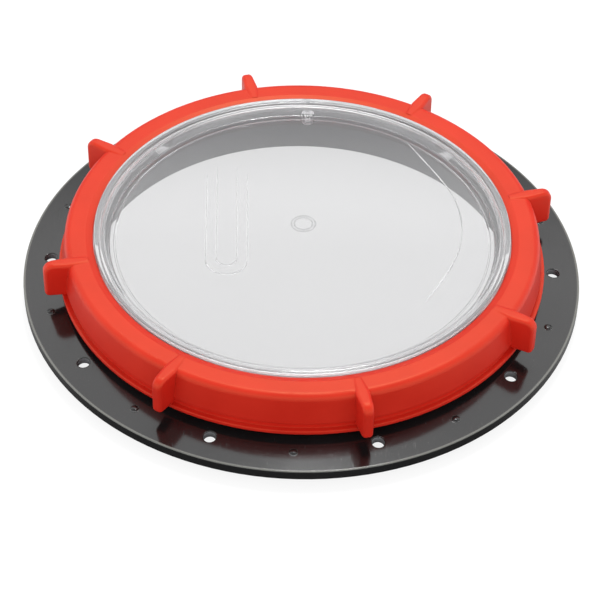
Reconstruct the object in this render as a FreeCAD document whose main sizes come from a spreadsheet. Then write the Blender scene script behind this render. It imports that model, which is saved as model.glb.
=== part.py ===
import FreeCAD, Part
import math
import os

import Sketcher

# Round watertight inspection hatch: a flanged frame that is screwed to a deck or bulkhead,
# a clear dished lid on a rubber seal, and a clamp ring with eight lugs that screws down over both.
# Millimetres, +Z up along the hatch axis, origin in the plane of the deck face on that axis.

# Driving sizes
SIZES = {
    # Flange of the frame: a shallow cone that rests on the deck by its outer rim
    "flange_width": 31.4,
    "flange_edge_height": 5.5,
    "flange_edge_round": 0.7,
    "flange_slope_angle": 5.7,
    "flange_wall": 4.0,
    "flange_rim_width": 4.0,
    # Neck of the frame: the tube that passes through the deck and carries the thread
    "neck_bore_diameter": 247.0,
    "neck_wall": 5.1,
    "spigot_depth": 6.5,
    "spigot_lead_in": 0.8,
    "neck_height": 25.2,
    "neck_root_round": 2.0,
    "neck_rim_lead_in": 0.8,
    "sealing_bead_width": 1.4,
    "sealing_bead_height": 0.7,
    # Screw holes, and the small moulded pips midway between them
    "hole_count": 10,
    "hole_edge_distance": 15.0,
    "hole_diameter": 6.8,
    "hole_edge_round": 0.6,
    "pip_edge_distance": 13.0,
    "pip_diameter": 4.6,
    "pip_height": 1.1,
    # Coarse thread with several starts, on the neck and inside the clamp ring
    "thread_starts": 4,
    "thread_lead": 24.0,
    "thread_depth": 2.3,
    "thread_crest_width": 2.0,
    "thread_root_width": 3.4,
    "thread_crest_clearance": 0.6,
    "neck_thread_rise": 7.6,
    "neck_thread_span": 94.0,
    "ring_thread_span": 112.0,
    # Seal, a flat rubber ring in a shallow recess under the lid
    "seal_rim_inset": 1.6,
    "seal_width": 5.5,
    "seal_thickness": 2.4,
    "seal_recess": 0.5,
    "seal_clearance": 0.3,
    "seal_edge_round": 0.5,
    # Lid: a domed panel inside a raised bead, with a flat clamping flange outside it
    "lid_side_clearance": 3.5,
    "lid_flange_thickness": 3.0,
    "lid_bead_inset": 5.0,
    "lid_bead_height": 5.6,
    "lid_bead_land": 3.8,
    "lid_bead_slope_width": 2.6,
    "lid_bead_slope_drop": 1.4,
    "lid_step_height": 5.3,
    "lid_step_width": 2.1,
    "panel_wall": 3.0,
    "panel_dome_rise": 5.0,
    "core_groove_inset": 2.9,
    "core_groove_width": 2.2,
    "core_groove_top_wall": 3.3,
    "lid_edge_round": 0.8,
    # Boss under the lid, with a blind hole for a retaining line's screw
    "boss_inset": 6.5,
    "boss_top_diameter": 8.4,
    "boss_end_diameter": 6.8,
    "boss_length": 5.0,
    "boss_hole_diameter": 3.6,
    "boss_hole_depth": 6.0,
    # Clamp ring
    "ring_top_wall": 3.1,
    "ring_foot_wall": 5.7,
    "ring_roof": 4.4,
    "ring_top_round": 4.0,
    "ring_funnel_width": 4.1,
    "ring_funnel_drop": 1.4,
    "ring_lid_clearance": 0.4,
    "ring_press_clearance": 0.3,
    "ring_groove_width": 3.2,
    "ring_groove_depth": 1.0,
    "ring_lip_reach": 2.0,
    "ring_foot_gap": 3.2,
    "ring_lip_thickness": 2.4,
    "ring_lip_round": 0.5,
    "ring_foot_lead_in": 0.5,
    "ring_clock_angle": 15.3,
    # Snap nibs inside the ring that carry the lid when the ring is lifted
    "nib_count": 4,
    "nib_span": 12.0,
    "nib_thickness": 1.8,
    "nib_catch": 0.6,
    "nib_clearance": 0.3,
    # Lugs of the clamp ring
    "lug_count": 8,
    "lug_tip_width": 5.7,
    "lug_root_width": 8.0,
    "lug_reach": 14.1,
    "lug_root_rise": 0.3,
    "lug_tip_rise": 1.5,
    "lug_corner_radius": 5.5,
    "lug_foot_lift": 2.8,
    "lug_bottom_fall": 0.4,
    "lug_toe_radius": 2.6,
    "lug_edge_round": 2.1,
    "lug_burial": 1.8,
}

SHEET_NAME = "Sizes"
PARTS_FOLDER = "parts"
FULL_TURN = 360.0
EDGE_TOLERANCE = 0.02


# A size with the expression that gives it, so that one formula places a point and binds it
class Dim:
    def __init__(self, value, text):
        self.value = float(value)
        self.text = text

    def __add__(self, other):
        other = as_dim(other)
        return Dim(self.value + other.value, "(%s + %s)" % (self.text, other.text))

    def __sub__(self, other):
        other = as_dim(other)
        return Dim(self.value - other.value, "(%s - %s)" % (self.text, other.text))

    def __mul__(self, other):
        other = as_dim(other)
        return Dim(self.value * other.value, "(%s * %s)" % (self.text, other.text))

    def __truediv__(self, other):
        other = as_dim(other)
        return Dim(self.value / other.value, "(%s / %s)" % (self.text, other.text))

    def __neg__(self):
        return Dim(-self.value, "(-1 * %s)" % self.text)

    def tangent(self):
        return Dim(math.tan(math.radians(self.value)), "tan(%s * 1 deg)" % self.text)


def as_dim(number):
    if isinstance(number, Dim):
        return number
    return Dim(number, repr(float(number)))


ZERO = Dim(0.0, "0")

doc = FreeCAD.newDocument("inspection_hatch")
sheet = doc.addObject("Spreadsheet::Sheet", SHEET_NAME)
for row, (alias, number) in enumerate(SIZES.items(), start=1):
    sheet.set("A%d" % row, alias.replace("_", " "))
    sheet.set("B%d" % row, str(number))
    sheet.setAlias("B%d" % row, alias)
doc.recompute()


def size(alias):
    return Dim(sheet.get(alias), "%s.%s" % (SHEET_NAME, alias))


# Sketches and features

def new_body(label):
    body = doc.addObject("PartDesign::Body", label)
    body.Label = label
    return body


def origin_feature(body, role):
    for feature in body.Origin.OriginFeatures:
        if feature.Role == role:
            return feature
    raise ValueError("no origin feature " + role)


def new_sketch(body, name, role="XZ_Plane", turned_by=None):
    sketch = body.newObject("Sketcher::SketchObject", name)
    sketch.AttachmentSupport = [(origin_feature(body, role), "")]
    sketch.MapMode = "FlatFace"
    if turned_by is not None:
        # the sketch's own vertical is the hatch axis, so the profile turns about that axis
        turn = FreeCAD.Rotation(FreeCAD.Vector(0, 1, 0), turned_by.value)
        sketch.AttachmentOffset = FreeCAD.Placement(FreeCAD.Vector(0, 0, 0), turn)
        sketch.setExpression("AttachmentOffset.Rotation.Angle", turned_by.text)
    return sketch


def bind_distance(sketch, kind, element, end, dim):
    number = sketch.addConstraint(Sketcher.Constraint(kind, -1, 1, element, end, dim.value))
    sketch.setExpression("Constraints[%d]" % number, dim.text)


def pin_point(sketch, element, end, point):
    across, up = point
    if across is ZERO:
        sketch.addConstraint(Sketcher.Constraint("PointOnObject", element, end, -2))
    else:
        bind_distance(sketch, "DistanceX", element, end, across)
    bind_distance(sketch, "DistanceY", element, end, up)


def flat(point):
    return FreeCAD.Vector(point[0].value, point[1].value, 0)


# A closed outline through the points. The step that ends at a point named in domes is an arc
# whose centre lies on the vertical axis, the others are straight.
def outline(sketch, points, domes=()):
    starts = []
    ends = []
    count = len(points)
    for index in range(count):
        here = points[index]
        after = points[(index + 1) % count]
        if after in domes:
            element, first, last = dome_arc(sketch, here, after)
        else:
            element = sketch.addGeometry(Part.LineSegment(flat(here), flat(after)), False)
            first, last = 1, 2
        starts.append((element, first))
        ends.append((element, last))
    for index in range(count):
        joined = ends[index] + starts[(index + 1) % count]
        sketch.addConstraint(Sketcher.Constraint("Coincident", *joined))
    for index in range(count):
        element, first = starts[index]
        pin_point(sketch, element, first, points[index])
    return sketch


def dome_arc(sketch, here, after):
    edge, crown = (here, after) if here[0].value > after[0].value else (after, here)
    reach = edge[0].value - crown[0].value
    rise = crown[1].value - edge[1].value
    radius = (reach * reach + rise * rise) / (2.0 * rise)
    centre = FreeCAD.Vector(0, crown[1].value - radius, 0)
    circle = Part.Circle(centre, FreeCAD.Vector(0, 0, 1), radius)
    edge_angle = math.asin((edge[1].value - centre.y) / radius)
    arc = Part.ArcOfCircle(circle, edge_angle, math.pi / 2.0)
    element = sketch.addGeometry(arc, False)
    sketch.addConstraint(Sketcher.Constraint("PointOnObject", element, 3, -2))
    return (element, 1, 2) if here is edge else (element, 2, 1)


def revolve(body, name, sketch, kind="PartDesign::Revolution", axis="V_Axis", angle=None):
    feature = body.newObject(kind, name)
    feature.Profile = sketch
    feature.ReferenceAxis = (sketch, [axis])
    feature.Angle = FULL_TURN
    if angle is not None:
        feature.Angle = angle.value
        feature.setExpression("Angle", angle.text)
        feature.Midplane = True
    doc.recompute()
    return feature


def around(body, name, originals, count):
    pattern = body.newObject("PartDesign::PolarPattern", name)
    pattern.Originals = originals
    pattern.Axis = (origin_feature(body, "Z_Axis"), [""])
    pattern.Angle = FULL_TURN
    pattern.setExpression("Occurrences", count.text)
    body.Tip = pattern
    doc.recompute()
    return pattern


def thread_ribs(body, name, wall, crest, burial, height, span):
    sketch = new_sketch(body, name + "_profile")
    half_root = size("thread_root_width") / 2
    half_crest = size("thread_crest_width") / 2
    base = wall - burial
    outline(sketch, [
        (base, height - half_root),
        (wall, height - half_root),
        (crest, height - half_crest),
        (crest, height + half_crest),
        (wall, height + half_root),
        (base, height + half_root),
    ])
    helix = body.newObject("PartDesign::AdditiveHelix", name)
    helix.Profile = sketch
    helix.ReferenceAxis = (sketch, ["V_Axis"])
    helix.Mode = "pitch-turns-angle"
    helix.LeftHanded = False
    helix.setExpression("Pitch", size("thread_lead").text)
    helix.setExpression("Turns", (span / FULL_TURN).text)
    doc.recompute()
    return around(body, name + "_starts", [helix], size("thread_starts"))


def rim_edges(feature, radius, height):
    names = []
    for number, edge in enumerate(feature.Shape.Edges, start=1):
        if edge.Degenerated or not isinstance(edge.Curve, Part.Circle):
            continue
        curve = edge.Curve
        level = abs(curve.Center.z - height.value) < EDGE_TOLERANCE
        if level and abs(curve.Radius - radius.value) < EDGE_TOLERANCE:
            names.append("Edge%d" % number)
    if not names:
        raise ValueError("no rim at radius %.3f, height %.3f" % (radius.value, height.value))
    return names


def dress(body, name, kind, base, names, dim):
    feature = body.newObject(kind, name)
    feature.Base = (base, names)
    prop = "Radius" if kind.endswith("Fillet") else "Size"
    setattr(feature, prop, dim.value)
    feature.setExpression(prop, dim.text)
    body.Tip = feature
    doc.recompute()
    return feature


def round_rims(body, name, base, rims, dim):
    names = []
    for radius, height in rims:
        names += rim_edges(base, radius, height)
    return dress(body, name, "PartDesign::Fillet", base, names, dim)


def chamfer_rims(body, name, base, rims, dim):
    names = []
    for radius, height in rims:
        names += rim_edges(base, radius, height)
    return dress(body, name, "PartDesign::Chamfer", base, names, dim)


# Levels and radii that more than one piece takes its place from
neck_inner = size("neck_bore_diameter") / 2
neck_outer = neck_inner + size("neck_wall")
neck_top = size("neck_height")
flange_radius = neck_outer + size("flange_width")
slope = size("flange_slope_angle").tangent()
hole_radius_at = flange_radius - size("hole_edge_distance")


def flange_top_at(radius):
    return size("flange_edge_height") + (flange_radius - radius) * slope


neck_foot = flange_top_at(neck_outer)
thread_start = neck_foot + size("neck_thread_rise")
seal_bottom = neck_top + size("sealing_bead_height") + size("seal_clearance")
seal_top = seal_bottom + size("seal_thickness")
seal_outer = neck_outer - size("seal_rim_inset")
seal_inner = seal_outer - size("seal_width")
ring_inner = neck_outer + size("thread_depth") + size("thread_crest_clearance")
lid_flange_bottom = seal_top - size("seal_recess")
lid_flange_top = lid_flange_bottom + size("lid_flange_thickness")
lid_radius = ring_inner - size("lid_side_clearance")
bead_outer = neck_inner - size("lid_bead_inset")
bead_top = lid_flange_top + size("lid_bead_height")
ring_press_face = lid_flange_top + size("ring_press_clearance")
ring_top = ring_press_face + size("ring_roof")
ring_mouth = bead_outer + size("ring_lid_clearance")
ring_crown = ring_inner + size("ring_top_wall")
ring_foot = ring_inner + size("ring_foot_wall")
lip_outer = ring_foot + size("ring_lip_reach")
lip_bottom = neck_foot + size("ring_foot_gap")
ring_step = ring_mouth + size("ring_funnel_width")


# Mounting frame: neck, conical flange and deck spigot in one moulding
def build_mounting_frame():
    body = new_body("mounting_frame")
    rim_inner = flange_radius - size("flange_rim_width")
    bead_middle = (seal_inner + seal_outer) / 2 + size("sealing_bead_width") / 2
    bead_outside = bead_middle + size("sealing_bead_width") / 2
    bead_inside = bead_middle - size("sealing_bead_width") / 2
    bead_height = neck_top + size("sealing_bead_height")
    spigot_end = -size("spigot_depth")
    # the profile stands midway between a hole and a pip, so that the seam it leaves cuts neither
    sketch = new_sketch(body, "frame_profile", turned_by=as_dim(FULL_TURN / 4) / size("hole_count"))
    outline(sketch, [
        (neck_inner, spigot_end),
        (neck_outer, spigot_end),
        (neck_outer, neck_foot - size("flange_wall")),
        (rim_inner, flange_top_at(rim_inner) - size("flange_wall")),
        (rim_inner, ZERO),
        (flange_radius, ZERO),
        (flange_radius, size("flange_edge_height")),
        (neck_outer, neck_foot),
        (neck_outer, neck_top),
        (bead_outside, neck_top),
        (bead_outside, bead_height),
        (bead_inside, bead_height),
        (bead_inside, neck_top),
        (neck_inner, neck_top),
    ])
    blank = revolve(body, "frame_blank", sketch)
    rounded = round_rims(body, "edge_round", blank,
                         [(flange_radius, size("flange_edge_height"))], size("flange_edge_round"))
    root = round_rims(body, "neck_root", rounded, [(neck_outer, neck_foot)], size("neck_root_round"))
    beaded = round_rims(body, "sealing_bead_round", root,
                        [(bead_outside, bead_height), (bead_inside, bead_height)],
                        size("sealing_bead_width") * 0.4)
    lead = chamfer_rims(body, "neck_lead_in", beaded, [(neck_outer, neck_top)],
                        size("neck_rim_lead_in"))
    chamfer_rims(body, "spigot_lead_in", lead, [(neck_outer, spigot_end)], size("spigot_lead_in"))
    cut_screw_holes(body)
    add_pips(body)
    thread_ribs(body, "neck_thread", neck_outer, neck_outer + size("thread_depth"),
                size("neck_wall") / 4, thread_start, size("neck_thread_span"))
    return body


def cut_screw_holes(body):
    sketch = new_sketch(body, "screw_hole_circle", "XY_Plane")
    radius = size("hole_diameter") / 2
    centre = FreeCAD.Vector(hole_radius_at.value, 0, 0)
    circle = Part.Circle(centre, FreeCAD.Vector(0, 0, 1), radius.value)
    element = sketch.addGeometry(circle, False)
    sketch.addConstraint(Sketcher.Constraint("PointOnObject", element, 3, -1))
    bind_distance(sketch, "DistanceX", element, 3, hole_radius_at)
    number = sketch.addConstraint(Sketcher.Constraint("Radius", element, radius.value))
    sketch.setExpression("Constraints[%d]" % number, radius.text)
    pocket = body.newObject("PartDesign::Pocket", "screw_hole")
    pocket.Profile = sketch
    pocket.Type = "ThroughAll"
    pocket.Midplane = True
    doc.recompute()
    holes = around(body, "screw_holes", [pocket], size("hole_count"))
    mouths = []
    level = (flange_top_at(hole_radius_at) - size("flange_wall") / 2).value
    for number, edge in enumerate(holes.Shape.Edges, start=1):
        if not edge.isClosed() or not edge.BoundBox.isValid():
            continue
        middle = edge.BoundBox.Center
        off_circle = abs(math.hypot(middle.x, middle.y) - hole_radius_at.value)
        small = edge.BoundBox.DiagonalLength < 2.0 * size("hole_diameter").value
        if small and off_circle < radius.value / 2 and middle.z > level:
            mouths.append("Edge%d" % number)
    return dress(body, "hole_edges", "PartDesign::Fillet", holes, mouths, size("hole_edge_round"))


# Low domed pips a little outside the hole circle, midway between the screw holes
def add_pips(body):
    half_step = as_dim(FULL_TURN / 2) / size("hole_count")
    sketch = new_sketch(body, "pip_profile", turned_by=half_step)
    middle = flange_radius - size("pip_edge_distance")
    half_width = size("pip_diameter") / 2
    height = size("pip_height")
    base = flange_top_at(middle + half_width) - size("flange_wall") / 4
    top = flange_top_at(middle) + height
    outline(sketch, [
        (middle, base),
        (middle + half_width, base),
        (middle + half_width, top - height * 0.8),
        (middle + half_width * 0.8, top - height * 0.36),
        (middle + half_width * 0.45, top - height * 0.08),
        (middle, top),
    ])
    line = Part.LineSegment(flat((middle, base)), flat((middle, top)))
    axis = sketch.addGeometry(line, True)
    sketch.addConstraint(Sketcher.Constraint("Vertical", axis))
    pin_point(sketch, axis, 1, (middle, base))
    pip = revolve(body, "pip", sketch, axis="Axis0")
    return around(body, "pips", [pip], size("hole_count"))


# Lid: clear moulding with a domed panel, a raised bead and a clamping flange
def build_lid():
    body = new_body("lid")
    land_inner = bead_outer - size("lid_bead_land")
    slope_inner = land_inner - size("lid_bead_slope_width")
    slope_foot = bead_top - size("lid_bead_slope_drop")
    panel_radius = slope_inner - size("lid_step_width")
    panel_edge = slope_foot - size("lid_step_height")
    panel_under = panel_edge - size("panel_wall")
    groove_outer = bead_outer - size("core_groove_inset")
    groove_inner = groove_outer - size("core_groove_width")
    groove_top = bead_top - size("core_groove_top_wall")
    crown_under = panel_under + size("panel_dome_rise")
    crown = panel_edge + size("panel_dome_rise")
    recess_top = seal_top
    panel_corner = (panel_radius, panel_edge)
    crown_point = (ZERO, crown)
    under_corner = (panel_radius, panel_under)
    sketch = new_sketch(body, "lid_profile")
    outline(sketch, [
        (ZERO, crown_under),
        under_corner,
        (groove_inner, panel_under),
        (groove_inner, groove_top),
        (groove_outer, groove_top),
        (groove_outer, lid_flange_bottom),
        (seal_inner, lid_flange_bottom),
        (seal_inner, recess_top),
        (seal_outer, recess_top),
        (seal_outer, lid_flange_bottom),
        (lid_radius, lid_flange_bottom),
        (lid_radius, lid_flange_top),
        (bead_outer, lid_flange_top),
        (bead_outer, bead_top),
        (land_inner, bead_top),
        (slope_inner, slope_foot),
        panel_corner,
        crown_point,
    ], domes=[under_corner, crown_point])
    blank = revolve(body, "lid_blank", sketch)
    rounded = round_rims(body, "bead_rounds", blank,
                         [(bead_outer, bead_top), (land_inner, bead_top), (slope_inner, slope_foot),
                          (panel_radius, panel_edge)],
                         size("lid_edge_round"))
    body.Tip = rounded
    add_lid_boss(body, panel_under)
    return body


def add_lid_boss(body, panel_under):
    centre = bead_outer - size("boss_inset")
    end = panel_under - size("boss_length")
    buried_top = panel_under + size("panel_wall") * 0.6
    hole_end = end + size("boss_hole_depth")
    sketch = new_sketch(body, "boss_profile", "YZ_Plane")
    outline(sketch, [
        (centre, end),
        (centre + size("boss_end_diameter") / 2, end),
        (centre + size("boss_top_diameter") / 2, panel_under),
        (centre + size("boss_top_diameter") / 2, buried_top),
        (centre, buried_top),
    ])
    add_axis(sketch, centre, end, buried_top)
    revolve(body, "boss", sketch, axis="Axis0")
    drill = new_sketch(body, "boss_hole_profile", "YZ_Plane")
    below = end - 1
    outline(drill, [
        (centre, below),
        (centre + size("boss_hole_diameter") / 2, below),
        (centre + size("boss_hole_diameter") / 2, hole_end),
        (centre, hole_end),
    ])
    add_axis(drill, centre, below, hole_end)
    hole = revolve(body, "boss_hole", drill, kind="PartDesign::Groove", axis="Axis0")
    body.Tip = hole
    return hole


def add_axis(sketch, across, low, high):
    line = Part.LineSegment(flat((across, low)), flat((across, high)))
    axis = sketch.addGeometry(line, True)
    sketch.addConstraint(Sketcher.Constraint("Vertical", axis))
    pin_point(sketch, axis, 1, (across, low))
    bind_distance(sketch, "DistanceY", axis, 2, high)


# Lid seal: a flat rubber ring in the recess under the lid's flange
def build_lid_seal():
    body = new_body("lid_seal")
    sketch = new_sketch(body, "seal_profile")
    outline(sketch, [
        (seal_inner, seal_bottom),
        (seal_outer, seal_bottom),
        (seal_outer, seal_top),
        (seal_inner, seal_top),
    ])
    blank = revolve(body, "seal_blank", sketch)
    round_rims(body, "seal_rounds", blank, [(seal_inner, seal_bottom), (seal_outer, seal_bottom)],
               size("seal_edge_round"))
    return body


# Clamp ring: threaded wall, pressing roof, foot lip, snap nibs and eight radial lugs
def build_clamp_ring():
    shell = new_body("ring_shell")
    lip_top = lip_bottom + size("ring_lip_thickness")
    groove_top = lip_top + size("ring_groove_width")
    groove_inner = ring_foot - size("ring_groove_depth")
    mouth_top = ring_top - size("ring_funnel_drop")
    # the profile stands midway between two lugs, so that the seam it leaves is clear of both
    sketch = new_sketch(shell, "ring_profile", turned_by=as_dim(FULL_TURN / 2) / size("lug_count"))
    outline(sketch, [
        (ring_mouth, mouth_top),
        (ring_mouth, ring_press_face),
        (ring_inner, ring_press_face),
        (ring_inner, lip_bottom + size("ring_foot_lead_in")),
        (ring_inner + size("ring_foot_lead_in"), lip_bottom),
        (lip_outer, lip_bottom),
        (lip_outer, lip_top),
        (groove_inner, lip_top),
        (groove_inner, groove_top),
        (ring_foot, groove_top + size("ring_groove_depth") / 2),
        (ring_crown, ring_top),
        (ring_step, ring_top),
    ])
    blank = revolve(shell, "ring_blank", sketch)
    crown = round_rims(shell, "top_round", blank, [(ring_crown, ring_top)], size("ring_top_round"))
    round_rims(shell, "lip_round", crown, [(lip_outer, lip_top), (lip_outer, lip_bottom)],
               size("ring_lip_round"))
    pitch = size("thread_lead") / size("thread_starts")
    clock_rise = size("thread_lead") * size("ring_clock_angle") / FULL_TURN
    height = thread_start - pitch / 2 + clock_rise
    thread_ribs(shell, "ring_thread", ring_inner, ring_inner - size("thread_depth"),
                -size("ring_foot_wall") / 4, height, size("ring_thread_span"))
    add_snap_nibs(shell)
    turn_with_ring(shell)
    lugs = build_lugs()
    ring = doc.addObject("Part::Fuse", "clamp_ring")
    ring.Base = shell
    ring.Tool = lugs
    ring.Refine = True
    ring.Label = "clamp_ring"
    doc.recompute()
    return ring


def turn_with_ring(body):
    clock = size("ring_clock_angle")
    turn = FreeCAD.Rotation(FreeCAD.Vector(0, 0, 1), clock.value)
    body.Placement = FreeCAD.Placement(FreeCAD.Vector(0, 0, 0), turn)
    body.setExpression("Placement.Rotation.Angle", clock.text)
    doc.recompute()


def add_snap_nibs(body):
    nib_top = lid_flange_bottom - size("nib_clearance")
    nib_bottom = nib_top - size("nib_thickness")
    nib_inner = lid_radius - size("nib_catch")
    wall = ring_inner + size("nib_catch")
    sketch = new_sketch(body, "nib_profile", turned_by=as_dim(FULL_TURN / 2) / size("nib_count"))
    outline(sketch, [
        (nib_inner, nib_top),
        (wall, nib_top),
        (wall, nib_bottom),
        (ring_inner, nib_bottom),
        (nib_inner, nib_bottom + size("nib_thickness") / 2),
    ])
    nib = revolve(body, "nib", sketch, angle=size("nib_span"))
    return around(body, "nibs", [nib], size("nib_count"))


def build_lugs():
    body = new_body("ring_lugs")
    tip = ring_crown + size("lug_reach")
    top = ring_top + size("lug_tip_rise")
    root_top = ring_top + size("lug_root_rise")
    buried = ring_inner + size("lug_burial")
    bottom = lip_bottom + size("lug_foot_lift")
    inner_bottom = bottom - size("lug_bottom_fall")
    waist = ring_top - size("ring_roof") / 2
    sketch = new_sketch(body, "lug_profile")
    outline(sketch, [
        (ring_step, root_top),
        (tip, top),
        (tip, bottom),
        (buried, inner_bottom),
        (buried, waist),
        (ring_step, waist),
    ])
    pad = body.newObject("PartDesign::Pad", "lug_block")
    pad.Profile = sketch
    pad.Midplane = True
    pad.setExpression("Length", (size("lug_root_width") * 1.5).text)
    doc.recompute()
    lug = narrow_lug(body, pad, tip)
    crown = dress(body, "lug_corner", "PartDesign::Fillet", lug,
                  [across_edge(lug, tip, top)], size("lug_corner_radius"))
    foot = dress(body, "lug_toe", "PartDesign::Fillet", crown,
                 [across_edge(crown, tip, bottom)], size("lug_toe_radius"))
    rims = []
    for number, edge in enumerate(foot.Shape.Edges, start=1):
        box = edge.BoundBox
        on_one_side = box.YMin > EDGE_TOLERANCE or box.YMax < -EDGE_TOLERANCE
        stands_clear = box.XMax > lip_outer.value or box.ZMin > ring_top.value
        if on_one_side and stands_clear:
            rims.append("Edge%d" % number)
    dress(body, "lug_rounds", "PartDesign::Fillet", foot, rims, size("lug_edge_round"))
    pattern = body.newObject("PartDesign::PolarPattern", "lugs")
    pattern.TransformMode = "Whole shape"
    pattern.Axis = (origin_feature(body, "Z_Axis"), [""])
    pattern.Angle = FULL_TURN
    pattern.setExpression("Occurrences", size("lug_count").text)
    body.Tip = pattern
    doc.recompute()
    turn_with_ring(body)
    return body


# Seen from above, a lug is widest at the ring's wall and narrows from there both ways
def narrow_lug(body, pad, tip):
    half_tip = size("lug_tip_width") / 2
    half_root = size("lug_root_width") / 2
    beyond = size("lug_root_width")
    inner_end = ring_step - size("lug_burial")
    outer_end = tip + size("lug_burial")
    taper = (half_root - half_tip) / size("lug_reach")
    half_outer = half_tip - taper * size("lug_burial")
    sketch = new_sketch(body, "lug_plan", role="XY_Plane")
    for side in (1.0, -1.0):
        outline(sketch, [
            (inner_end, beyond * side),
            (inner_end, half_tip * side),
            (ring_crown, half_root * side),
            (outer_end, half_outer * side),
            (outer_end, beyond * side),
        ])
    cut = body.newObject("PartDesign::Pocket", "lug_sides")
    cut.Profile = sketch
    cut.Type = "ThroughAll"
    cut.Reversed = True
    body.Tip = cut
    doc.recompute()
    return cut


def across_edge(feature, radius, height):
    for number, edge in enumerate(feature.Shape.Edges, start=1):
        box = edge.BoundBox
        level = abs(box.Center.z - height.value) < EDGE_TOLERANCE and box.ZLength < EDGE_TOLERANCE
        if level and abs(box.Center.x - radius.value) < EDGE_TOLERANCE and box.XLength < EDGE_TOLERANCE:
            return "Edge%d" % number
    raise ValueError("no edge across the lug at radius %.3f" % radius.value)


nodes = [build_mounting_frame(), build_lid(), build_lid_seal(), build_clamp_ring()]
doc.recompute()

for item in doc.Objects:
    for fault in ("Invalid", "Error"):
        if fault in item.State:
            raise RuntimeError("%s is %s" % (item.Label, fault))

for node in nodes:
    shape = node.Shape
    if shape.isNull() or not shape.isValid():
        raise RuntimeError("%s has no valid shape" % node.Label)

os.makedirs(PARTS_FOLDER, exist_ok=True)
for node in nodes:
    shape = node.Shape
    shape.exportStep(os.path.join(PARTS_FOLDER, node.Label + ".step"))
    print("%-16s %d solid, %9.0f mm3" % (node.Label, len(shape.Solids), shape.Volume))
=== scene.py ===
"""Looks of a round screw-down inspection hatch: dark moulded frame, clear lid, red clamp ring.

The scene is in metres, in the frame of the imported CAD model: origin on the hatch axis in the
plane of the deck face, +Z out of the deck. Sizes of pieces and finishes are fields in mm.
"""

import logging
import math
from dataclasses import dataclass
from enum import Enum
from typing import Any, Iterable, Sequence

import bpy
from mathutils import Matrix, Vector

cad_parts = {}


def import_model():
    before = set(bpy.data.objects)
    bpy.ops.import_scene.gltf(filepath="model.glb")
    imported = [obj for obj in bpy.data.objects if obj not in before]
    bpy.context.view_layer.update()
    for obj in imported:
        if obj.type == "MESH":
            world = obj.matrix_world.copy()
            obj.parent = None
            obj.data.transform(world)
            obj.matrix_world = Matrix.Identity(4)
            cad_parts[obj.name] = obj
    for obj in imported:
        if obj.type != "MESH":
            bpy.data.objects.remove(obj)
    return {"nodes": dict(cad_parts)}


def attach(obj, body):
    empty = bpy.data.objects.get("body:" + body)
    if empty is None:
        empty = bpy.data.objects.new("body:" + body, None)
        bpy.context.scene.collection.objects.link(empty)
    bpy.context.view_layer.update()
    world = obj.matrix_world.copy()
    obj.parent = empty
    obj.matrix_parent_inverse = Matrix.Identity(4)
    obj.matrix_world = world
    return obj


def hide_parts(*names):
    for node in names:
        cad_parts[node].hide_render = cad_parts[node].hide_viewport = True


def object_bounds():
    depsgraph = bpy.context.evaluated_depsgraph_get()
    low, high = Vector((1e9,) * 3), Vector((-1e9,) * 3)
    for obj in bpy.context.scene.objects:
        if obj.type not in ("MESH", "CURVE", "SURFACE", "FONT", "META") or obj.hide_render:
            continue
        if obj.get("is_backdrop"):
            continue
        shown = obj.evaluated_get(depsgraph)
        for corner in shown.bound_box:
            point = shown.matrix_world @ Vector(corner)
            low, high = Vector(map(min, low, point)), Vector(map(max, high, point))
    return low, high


LOG = logging.getLogger("hatch")
MM = 0.001
# steps in a full turn of the lid and the seal, and the angle from which an edge stays sharp
AROUND = 512
SHARP = math.radians(32)
# radius in mm under which a point of an outline lies on the axis
ON_AXIS = 1e-6
# an open line starts at this share of its section and grows by this share at each point
END_SHARE = 0.3
END_GROWTH = 0.1
# sockets of a Mix node of colours
FACTOR, COLOUR_A, COLOUR_B, MIXED = 0, 6, 7, 2

Point = tuple[float, float]
Spot = tuple[float, float, float]
Span = tuple[float, float]
Colour = tuple[float, float, float, float]
Tree = bpy.types.NodeTree
Socket = bpy.types.NodeSocket


class Body(Enum):
    """The CAD body that the new pieces ride on."""

    COVER = "cover"


class Slot(Enum):
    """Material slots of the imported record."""

    LID = "clear_plastic"
    SEAL = "seal_rubber"


class Joining(Enum):
    """How a solid changes the one that it meets."""

    ADD = "UNION"
    CUT = "DIFFERENCE"


class Way(Enum):
    """What the sky's light rises along: away from the camera, up, or out to either side."""

    BACK = "Y"
    UP = "Z"
    SIDE = "X"


def linear(colour: str) -> Colour:
    """Turns an sRGB hex colour to linear RGBA.

    Args:
        colour: six hex digits with a leading #.

    Returns:
        Red, green, blue and an alpha of 1.
    """
    channels = [int(colour[i:i + 2], 16) / 255 for i in (1, 3, 5)]
    curve = [c / 12.92 if c <= 0.04045 else ((c + 0.055) / 1.055) ** 2.4 for c in channels]
    return (curve[0], curve[1], curve[2], 1.0)


def add(tree: Tree, kind: str, settings: dict[Any, Any] | None = None,
        links: dict[Any, Socket] | None = None,
        stops: Iterable[tuple[float, Colour]] = ()) -> bpy.types.Node:
    """Adds one shader node.

    Args:
        tree: the material's or the world's node tree.
        kind: the node's type without its ShaderNode prefix.
        settings: values by attribute name, or by input name or number.
        links: output sockets by the input name or number that they feed.
        stops: place and colour of each stop, where the node is a colour ramp.

    Returns:
        The new node.
    """
    node = tree.nodes.new("ShaderNode" + kind)
    for key, value in (settings or {}).items():
        if isinstance(key, str) and hasattr(node, key):
            setattr(node, key, value)
        else:
            node.inputs[key].default_value = value
    for key, socket in (links or {}).items():
        tree.links.new(socket, node.inputs[key])
    for index, (place, colour) in enumerate(stops):
        node.color_ramp.elements[index].position = place
        node.color_ramp.elements[index].color = colour
    return node


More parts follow.
